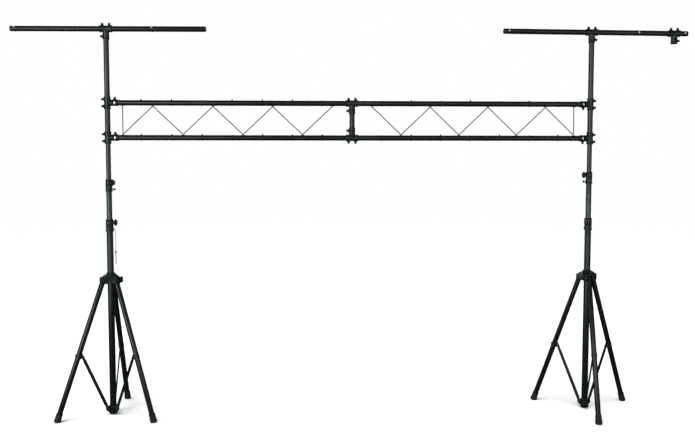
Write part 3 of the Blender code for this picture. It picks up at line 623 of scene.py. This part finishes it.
for side in SIDES:
    for stage, outer, inner, body in (("lower", COLUMN_R, MIDDLE_R, side + "_stand"),
                                      ("upper", MIDDLE_R, TOP_R, side + "_middle")):
        label = side + "_" + stage
        low, high = node_span(label + "_collar")
        bore, waist = outer + 0.0003, outer + 0.0030
        lip, step = inner + 0.0008, high - 0.030
        ring = turned("ring", [
            (bore, low), (outer + 0.0046, low), (outer + 0.0054, low + 0.0008), (outer + 0.0054, low + 0.0056),
            (outer + 0.0046, low + 0.0068), (waist, low + 0.0100), (waist, step - 0.0040),
            (waist + 0.0010, step - 0.0025), (waist + 0.0010, step + 0.0025), (waist, step + 0.0040),
            (waist, high - 0.0060), (waist + 0.0010, high - 0.0045), (waist + 0.0010, high - 0.0012),
            (waist - 0.0004, high), (lip, high), (lip, step), (bore, step), (bore, low)], 48)
        knob_way = at(0, 0, high - KNOB_BELOW_TOP) @ heading(label + "_knob_turn") @ X_WAY
        pin_way = at(0, 0, low + PIN_ABOVE_BOTTOM) @ turn(PIN_AZIMUTH[label], "Z") @ X_WAY
        knob_boss = placed(bar("knob_boss", 0.0100, outer + 0.0010, waist + 0.0080, 32, 0.0084), knob_way)
        pin_boss = placed(bar("pin_boss", 0.0076, outer + 0.0012, waist + 0.0050, 28, 0.0062), pin_way)
        combine(ring, [knob_boss, pin_boss])
        cut(ring, placed(bar("hole", 0.0044, inner - 0.004, waist + 0.02, 20), knob_way),
            placed(bar("hole", 0.0034, outer - 0.004, waist + 0.02, 16), pin_way))
        placed(ring, at(mast_x[side], 0, 0))
        fitted(ring, label + "_collar_ring", body, cast_coat, "cast_fittings", label + "_collar")
print("collars", 4)

# %% [markdown]
# ## Star knobs
# Six rounded lobes give a grip. A many-sided disc has its rim pushed in and out by a wave, its edges are
# bevelled, and a dished face and a neck are added. All six knobs are copies of the one.
# %% Star knobs
LOBES, KNOB_R = 6, 0.0215
star = bar("star", KNOB_R, 0.0022, 0.0150, LOBES * 14)
for vertex in star.data.vertices:
    angle = math.atan2(vertex.co.y, vertex.co.x)
    wave = 0.88 + 0.12 * math.cos(LOBES * angle)
    vertex.co.x, vertex.co.y = vertex.co.x * wave, vertex.co.y * wave
softened(star, 0.0026, 4, 50)
dish = turned("dish", [(0, 0.0163), (0.0040, 0.0163), (0.0072, 0.0158), (0.0086, 0.0148), (0, 0.0142)], 32)
neck = turned("neck", [(0, 0.0005), (0.0080, 0.0005), (0.0086, 0.0010), (0.0094, 0.0026), (0, 0.0032)], 32)
shank = bar("shank", 0.0038, -0.0070, 0.0026, 20)
knob = joined("knob", [star, dish, neck, shank])
for side in SIDES:
    for label in (side + "_lower_knob", side + "_upper_knob", side + "_yoke_knob"):
        joint = label + "_turn"
        where = at(*joints[joint]["pos_m"]) @ heading(joint) @ X_WAY
        fitted(copy_at(knob, where), label + "_star", label, knob_plastic, "plastic_knobs", label)
bpy.data.objects.remove(knob)
print("knobs", 6)

# %% Locking pins with pull rings
PULL_R, PULL_WIRE = 0.0068, 0.0008
for side in SIDES:
    label = side + "_upper_pin"
    low = node_span(side + "_upper_collar")[0]
    way = at(mast_x[side], 0, low + PIN_ABOVE_BOTTOM) @ heading(label + "_pull") @ at(MIDDLE_R + 0.0080, 0, 0)
    shaft = turned("shaft", [
        (0, -0.0065), (0.0024, -0.0065), (0.0030, -0.0055), (0.0030, 0.0064), (0, 0.0064)], 24)
    placed(shaft, way @ X_WAY)
    grip = turned("grip", [
        (0, 0.0060), (0.0048, 0.0060), (0.0056, 0.0068), (0.0060, 0.0092), (0.0068, 0.0110),
        (0.0068, 0.0160), (0.0054, 0.0184), (0.0026, 0.0194), (0, 0.0196)], 28)
    fitted(placed(grip, way @ X_WAY), label + "_grip", label, knob_plastic, "plastic_knobs")
    bpy.ops.object.select_all(action="DESELECT")
    bpy.ops.mesh.primitive_torus_add(major_radius=PULL_R, minor_radius=PULL_WIRE,
                                     major_segments=28, minor_segments=8)
    ring = bpy.context.object
    placed(ring, way @ at(0.0088, 0, -0.0062) @ turn(90, "X"))
    fitted(joined("pin", [shaft, ring]), label + "_pull", label, zinc, "zinc_hardware", label)
print("locking pins", 2)

# %% [markdown]
# ## The sliding yoke
# The yoke carries the tops of the three legs. Its neck slides on the column, and each channel arm holds a
# leg between two cheeks on a through bolt. The channel is a plate with a slot cut in it.
# %% Tripod places
LEG_PIVOT_R, LEG_PIVOT_Z, HUB_PIVOT_R, HUB_PIVOT_Z = 0.0507, 0.893, 0.036, 0.045
LEG_R, FOOT_SPREAD, STRUT_ON_LEG, STRUT_INSET = 0.0170, 0.359, 0.5072, 0.030
leg_tilt = math.atan2(FOOT_SPREAD - LEG_PIVOT_R, LEG_PIVOT_Z)
leg_reach = LEG_PIVOT_Z / math.cos(leg_tilt)
strut_top_r = LEG_PIVOT_R + STRUT_ON_LEG * math.sin(leg_tilt) - STRUT_INSET * math.cos(leg_tilt)
strut_top_z = LEG_PIVOT_Z - STRUT_ON_LEG * math.cos(leg_tilt) - STRUT_INSET * math.sin(leg_tilt)
strut_length = math.hypot(strut_top_r - HUB_PIVOT_R, strut_top_z - HUB_PIVOT_Z)
strut_tilt = math.atan2(strut_top_r - HUB_PIVOT_R, strut_top_z - HUB_PIVOT_Z)


def leg_ways(side):
    ways = []
    for number in (1, 2, 3):
        x, y, _ = joints[f"{side}_leg_{number}_fold"]["pos_m"]
        ways.append(Matrix.Rotation(math.atan2(y, x - mast_x[side]), 4, "Z"))
    return ways


print("leg tilt", round(math.degrees(leg_tilt), 2), "reach", round(leg_reach, 4))
print("strut", round(strut_length, 4))


# %% Yokes
def through_bolt(half, radius):
    """A bolt along Y with a domed head and a hex nut, seen on both cheeks."""
    rounded_head = turned("bolt_head", [
        (0, 0.0042), (0.0030, 0.0038), (0.0056, 0.0022), (0.0062, 0), (0, 0)], 24)
    placed(rounded_head, at(0, 0, half))
    hex_nut = placed(hexagon("hex_nut", 0.0115, -0.0052, 0), at(0, 0, -half))
    core = bar("core", radius, -half - 0.0072, half + 0.001, 16)
    return placed(joined("through_bolt", [rounded_head, hex_nut, core]), Y_WAY)


slot_width, cheek = 2 * LEG_R + 0.0014, 0.0035
for side in SIDES:
    neck = turned("neck", [
        (0, 0.8720), (0.0262, 0.8720), (0.0270, 0.8728), (0.0270, 0.9400), (0.0276, 0.9412), (0.0276, 0.9440),
        (0.0268, 0.9450), (0, 0.9450)], 48)
    arms, slots, bolts = [], [], []
    for way in leg_ways(side):
        arms.append(placed(softened(plate("arm", [
            (0.0200, 0.9370), (0.0280, 0.9370), (0.0650, 0.9170), (0.0680, 0.9120), (0.0680, 0.8800),
            (0.0620, 0.8730), (0.0200, 0.8730)], slot_width + 2 * cheek), 0.0016, 3), way))
        slots.append(placed(plate("slot", [
            (0.0300, 0.9325), (0.0650, 0.9135), (0.0880, 0.9135), (0.0880, 0.8620), (0.0300, 0.8620)],
            slot_width), way))
        bolt = through_bolt(slot_width / 2 + cheek, 0.0040)
        bolts.append(placed(bolt, way @ at(LEG_PIVOT_R, 0, LEG_PIVOT_Z)))
    spot = at(0, 0, joints[side + "_yoke_knob_turn"]["pos_m"][2]) @ heading(side + "_yoke_knob_turn") @ X_WAY
    combine(neck, arms + [placed(bar("knob_boss", 0.0112, 0.024, 0.0618, 32, 0.0088), spot)])
    cut(neck, *slots)
    cut(neck, placed(bar("hole", 0.0044, 0.015, 0.080, 20), spot),
        bar("bore", COLUMN_R + 0.0008, 0.80, 1.00, 48))
    mast, body = at(mast_x[side], 0, 0), side + "_yoke"
    fitted(placed(neck, mast), body + "_casting", body, cast_coat, "cast_fittings", body)
    fitted(placed(joined("bolts", bolts), mast), body + "_bolts", body, bolt_dark, "cast_fittings")
print("yoke slot", round(slot_width, 4))

# %% [markdown]
# ## The hub
# The hub caps the foot of the column and has three forks. A strut sits in each fork on a pin.
# %% Hubs
for side in SIDES:
    cup = turned("cup", [(0, 0.0050), (0.0205, 0.0050), (0.0235, 0.0066), (0.0250, 0.0095), (0.0250, 0.0560),
                         (0.0257, 0.0570), (0.0257, 0.0606), (0.0248, 0.0620), (0, 0.0620)], 48)
    forks, slots, pins = [], [], []
    for way in leg_ways(side):
        forks.append(placed(softened(plate("fork", [
            (0.0205, 0.0580), (0.0430, 0.0580), (0.0475, 0.0500), (0.0475, 0.0360), (0.0360, 0.0210),
            (0.0205, 0.0110)], 0.0150), 0.0014, 3), way))
        slots.append(placed(plate("slot", [(0.0252, 0.080), (0.060, 0.080), (0.060, 0.002), (0.0252, 0.002)],
                                  0.0062), way))
        pin = turned("pin", [
            (0, -0.0096), (0.0036, -0.0092), (0.0044, -0.0076), (0.0026, -0.0074), (0.0026, 0.0074),
            (0.0044, 0.0076), (0.0036, 0.0092), (0, 0.0096)], 20)
        pins.append(placed(pin, way @ at(HUB_PIVOT_R, 0, HUB_PIVOT_Z) @ Y_WAY))
    combine(cup, forks)
    cut(cup, *slots)
    cut(cup, bar("bore", COLUMN_R + 0.0003, 0.010, 0.09, 48))
    mast, body, hub = at(mast_x[side], 0, 0), side + "_stand", side + "_hub"
    fitted(placed(cup, mast), hub + "_casting", body, cast_coat, "cast_fittings", hub)
    fitted(placed(joined("pins", pins), mast), hub + "_pins", body, bolt_dark, "cast_fittings")
print("hubs", 2)

# %% [markdown]
# ## Legs, feet and struts
# A leg is a tube with a riveted band half way down, whose two ears take the strut. A ribbed rubber foot is
# pushed on its end, and the lowest edge is pressed flat on the floor. A strut is flat bar with round ends.
# %% Leg
leg_end = -(leg_reach - 0.014)
leg = tube("leg", LEG_R, 0.0016, leg_end, 0.0110)
cut(leg, placed(bar("eye", 0.0047, -0.03, 0.03, 20), Y_WAY))
band_r = LEG_R + 0.0014
EAR_GAP, EAR_R, EAR_THICK = 0.0066, 0.0095, 0.0025
ear = [(-LEG_R + 0.001, 0.0270)]
for i in range(9):
    angle = math.radians(90 + 180 * i / 8)
    ear.append((-STRUT_INSET + EAR_R * math.cos(angle), EAR_R * math.sin(angle)))
ear.append((-LEG_R + 0.001, -0.013))
bracket_parts = [turned("band", [
    (LEG_R + 0.0002, -0.016), (band_r, -0.016), (band_r + 0.0003, -0.013), (band_r, -0.010), (band_r, 0.010),
    (band_r + 0.0003, 0.013), (band_r, 0.016), (LEG_R + 0.0002, 0.016), (LEG_R + 0.0002, -0.016)], 40)]
for way in (-1, 1):
    bracket_parts.append(placed(softened(plate("ear", ear, EAR_THICK), 0.0005),
                                at(0, way * (EAR_GAP + EAR_THICK) / 2, 0)))
    rivet = turned("rivet", [(0, 0.0026), (0.0028, 0.0020), (0.0042, 0), (0, -0.0008)], 20)
    bracket_parts.append(placed(rivet, turn(90 * way, "X") @ at(0, 0, band_r)))
band_bolt = turned("band_bolt", [
    (0, 0.0060), (0.0032, 0.0056), (0.0050, 0.0042), (0.0054, 0.0012), (0.0070, 0.0010), (0.0070, -0.0014),
    (0, -0.0014)], 24)
bracket_parts.append(placed(band_bolt, turn(90, "Y") @ at(0, 0, band_r)))
bracket = placed(joined("bracket", bracket_parts), at(0, 0, -STRUT_ON_LEG))
pivot_bolt = placed(through_bolt(EAR_GAP / 2 + EAR_THICK, 0.0028), at(-STRUT_INSET, 0, -STRUT_ON_LEG))
print("leg", round(-leg_end, 3), "m below its hinge")

# %% Foot
FOOT_R = 0.0230
top, seat = -(leg_reach - 0.060), -(leg_reach - 0.0137)
end = -(leg_reach + (0.005 - FOOT_R * math.sin(leg_tilt)) / math.cos(leg_tilt))
FOOT_RIBS, RIB_PITCH = 4, 0.0062
rise = [(FOOT_R - 0.001, end + 0.0140)]
for i in range(FOOT_RIBS):
    z = -(leg_reach - 0.034) + i * RIB_PITCH
    rise += [(0.0205, z), (0.0205, z + 0.0040), (0.0198, z + 0.0046), (0.0198, z + 0.0058)]
foot = turned("foot", [(0, end), (FOOT_R - 0.0022, end), (FOOT_R - 0.001, end + 0.0012)] + rise
              + [(0.0194, top), (LEG_R + 0.0003, top), (LEG_R + 0.0003, seat), (0, seat)], 40)
only(foot)
bpy.ops.object.mode_set(mode="EDIT")
bpy.ops.mesh.select_all(action="SELECT")
bpy.ops.mesh.bisect(plane_co=(0, 0, -leg_reach), plane_no=(-math.sin(leg_tilt), 0, -math.cos(leg_tilt)),
                    use_fill=True, clear_outer=True)
bpy.ops.mesh.select_all(action="SELECT")
bpy.ops.mesh.normals_make_consistent(inside=False)
bpy.ops.object.mode_set(mode="OBJECT")
print("foot faces", len(foot.data.polygons))

# %% Strut
HALF_WIDTH, TIP_R, TAPER, STRUT_THICK = 0.0104, 0.0080, 0.034, 0.005


def half_round(z, start):
    angles = [math.radians(start + 15 * i) for i in range(13)]
    return [(TIP_R * math.cos(angle), z + TIP_R * math.sin(angle)) for angle in angles]


outline = half_round(0, 180) + [(HALF_WIDTH, TAPER), (HALF_WIDTH, strut_length - TAPER)]
outline += half_round(strut_length, 0) + [(-HALF_WIDTH, strut_length - TAPER), (-HALF_WIDTH, TAPER)]
strut = softened(plate("strut", outline, STRUT_THICK), 0.0005)
cut(strut, placed(bar("eye", 0.0031, -0.02, 0.02, 20), Y_WAY),
    placed(bar("eye", 0.0031, -0.02, 0.02, 20), at(0, 0, strut_length) @ Y_WAY))

# %% Stand the tripods up
for side in SIDES:
    for number, way in enumerate(leg_ways(side), start=1):
        around = at(mast_x[side], 0, 0) @ way
        at_leg = around @ at(LEG_PIVOT_R, 0, LEG_PIVOT_Z) @ Matrix.Rotation(-leg_tilt, 4, "Y")
        at_strut = around @ at(HUB_PIVOT_R, 0, HUB_PIVOT_Z) @ Matrix.Rotation(strut_tilt, 4, "Y")
        label = f"{side}_leg_{number}"
        fitted(copy_at(leg, at_leg), label + "_tube", label, tube_coat, "coated_tube", label)
        fitted(copy_at(bracket, at_leg), label + "_bracket", label, cast_coat, "cast_fittings")
        fitted(copy_at(pivot_bolt, at_leg), label + "_pivot_bolt", label, bolt_dark, "cast_fittings")
        foot_node = f"{side}_foot_{number}"
        fitted(copy_at(foot, at_leg), foot_node + "_rubber", label, foot_rubber, "rubber_feet", foot_node)
        strut_node = f"{side}_strut_{number}"
        fitted(copy_at(strut, at_strut), strut_node + "_bar", strut_node, tube_coat, "coated_tube", strut_node)
for spare in (leg, bracket, pivot_bolt, foot, strut):
    bpy.data.objects.remove(spare)
print("tripods", 2)

# %% [markdown]
# ## Floor and light
# A black stand on white needs two things at once: a surround that looks white, and dark surfaces that are not
# washed grey by it. So the surround is bright where it is seen and dimmer as a lamp. A broad soft sun lights
# the floor evenly, and three large lamps in front draw the long streaks that show that a black tube is round.
# Two smaller ones behind do the same for the far side.
# %% Floor
FLOOR_DROP = 0.0004
bpy.context.scene.view_settings.view_transform = "Standard"
bpy.ops.object.select_all(action="DESELECT")
bpy.ops.mesh.primitive_plane_add(size=80, location=(0, 0, -FLOOR_DROP))
floor = bpy.context.object
floor.name = "studio_floor"
floor_pale = finish("floor_pale", (0.86, 0.86, 0.86), (0.90, 0.90, 0.90), (0.8, 0.9), 0, 60, 0.0001)
floor.data.materials.append(floor_pale)
floor.visible_glossy = False


# %% Surround
SEEN_STRENGTH, LIGHT_STRENGTH = 1.0, 0.04
world = bpy.data.worlds.new("surround")
bpy.context.scene.world = world
world.use_nodes = True
sky_nodes, sky_links = world.node_tree.nodes, world.node_tree.links
seen = sky_nodes["Background"]
seen.inputs["Color"].default_value = (1, 1, 1, 1)
seen.inputs["Strength"].default_value = SEEN_STRENGTH
glow = sky_nodes.new("ShaderNodeBackground")
glow.inputs["Color"].default_value = (1, 1, 1, 1)
glow.inputs["Strength"].default_value = LIGHT_STRENGTH
choice, ray = sky_nodes.new("ShaderNodeMixShader"), sky_nodes.new("ShaderNodeLightPath")
sky_links.new(ray.outputs["Is Camera Ray"], choice.inputs["Fac"])
sky_links.new(glow.outputs["Background"], choice.inputs[1])
sky_links.new(seen.outputs["Background"], choice.inputs[2])
sky_links.new(choice.outputs["Shader"], sky_nodes["World Output"].inputs["Surface"])


# %% Lamps
def aimed(kind, name, place, target, power):
    bpy.ops.object.light_add(type=kind, location=place)
    lamp = bpy.context.object
    lamp.name, lamp.data.energy = name, power
    lamp.rotation_euler = (Vector(target) - Vector(place)).to_track_quat("-Z", "Y").to_euler()
    return lamp


sun = aimed("SUN", "soft_sun", (-1.2, -1.6, 6.0), (0, 0, 0), 3.9)
sun.data.angle = math.radians(40)
sun.visible_glossy = False
LAMP_TINT = (0.93, 1.0, 0.96)
boxes = (("key_softbox", (-4.4, -5.5, 1.9), (-0.4, 0, 1.3), 6.4, 3.6, 360),
         ("middle_softbox", (1.4, -6.4, 2.5), (0.4, 0, 1.9), 3.8, 2.6, 60),
         ("fill_softbox", (4.9, -5.4, 2.0), (0.8, 0, 1.4), 2.6, 3.0, 75),
         ("back_softbox_left", (-4.2, 5.0, 2.6), (-0.6, 0, 1.2), 2.4, 2.4, 45),
         ("back_softbox_right", (4.2, 5.0, 2.6), (0.6, 0, 1.2), 2.4, 2.4, 45))
for name, place, target, wide, tall, power in boxes:
    lamp = aimed("AREA", name, place, target, power)
    lamp.data.shape, lamp.data.size, lamp.data.size_y = "RECTANGLE", wide, tall
    lamp.visible_camera = False
    lamp.data.color = LAMP_TINT
print("lamps", 1 + len(boxes))
